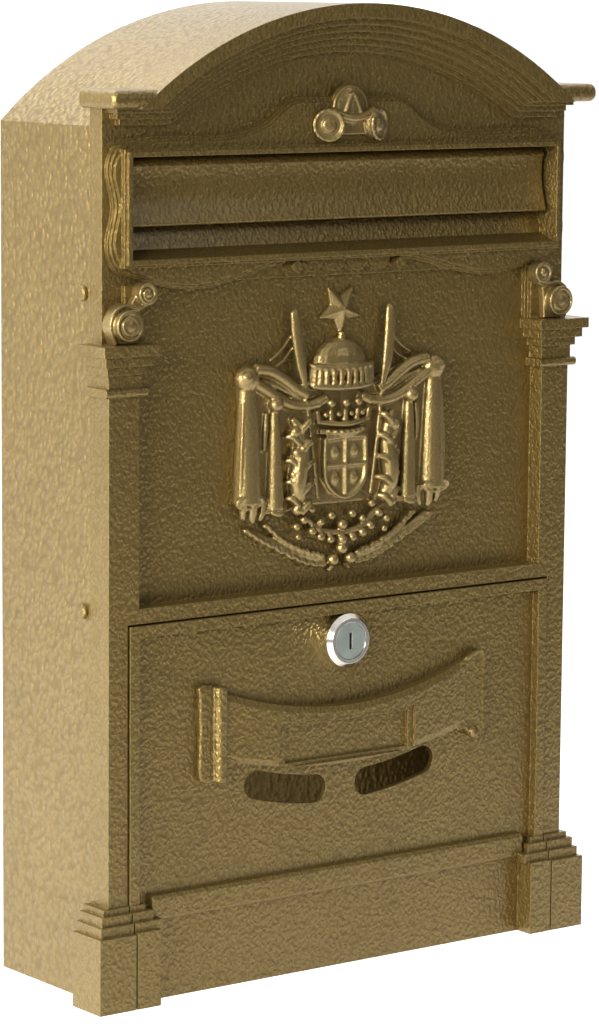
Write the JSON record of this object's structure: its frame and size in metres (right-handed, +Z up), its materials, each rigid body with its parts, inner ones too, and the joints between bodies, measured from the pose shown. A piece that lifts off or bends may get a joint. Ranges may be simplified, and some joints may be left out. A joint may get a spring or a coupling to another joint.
{
  "type": "wall mounted mailbox",
  "caption": "Wall mailbox with an arched pediment, a letter flap on a rod, pilasters and a locking door that folds down from its foot.",
  "frame": {"origin": "centre of the four wall screw holes, on the back face that touches the wall", "axes": "+X to the right seen from the front, +Y out of the back face towards the wall, +Z up"},
  "size_m": [0.2604, 0.0909, 0.4132],
  "materials": {
    "hammered_bronze": "hammered, semi-gloss",
    "chrome": "polished",
    "lock_steel": "satin",
    "zinc_steel": "zinc plated"
  },
  "bodies": {
    "case": {"rear_casing": "hammered_bronze", "front_casting": "hammered_bronze", "crest": "hammered_bronze", "crest_nuts": "zinc_steel", "console_left": "hammered_bronze", "console_right": "hammered_bronze", "console_nuts": "zinc_steel", "keystone_scroll": "hammered_bronze", "keystone_nut": "zinc_steel", "flap_rod": "zinc_steel", "flap_rod_clips": "zinc_steel", "flap_spring_left": "zinc_steel", "flap_spring_right": "zinc_steel", "side_screws": "hammered_bronze"},
    "door": {"door": "hammered_bronze", "name_scroll": "hammered_bronze", "name_scroll_nuts": "zinc_steel", "hinge_pin_left": "zinc_steel", "hinge_pin_right": "zinc_steel", "lock_body": "chrome", "lock_washer": "zinc_steel", "lock_nut": "zinc_steel"},
    "lock_plug": {"lock_cylinder": "lock_steel", "lock_cam": "zinc_steel", "cam_screw": "zinc_steel"},
    "flap": {"letter_flap": "hammered_bronze"}
  },
  "joints": [
    {"name": "door_hinge", "type": "hinge", "parent": "case", "child": "door", "pos_m": [0, -0.075, -0.2076], "axis": [1, 0, 0], "range_deg": [0, 100]},
    {"name": "lock_turn", "type": "hinge", "parent": "door", "child": "lock_plug", "pos_m": [0, -0.08, -0.068], "axis": [0, -1, 0], "range_deg": [0, 90]},
    {"name": "flap_hinge", "type": "hinge", "parent": "case", "child": "flap", "pos_m": [0, -0.0709, 0.133], "axis": [-1, 0, 0], "range_deg": [0, 70], "stiffness_Nm_per_rad": 0.006, "springref_deg": -20.05}
  ]
}
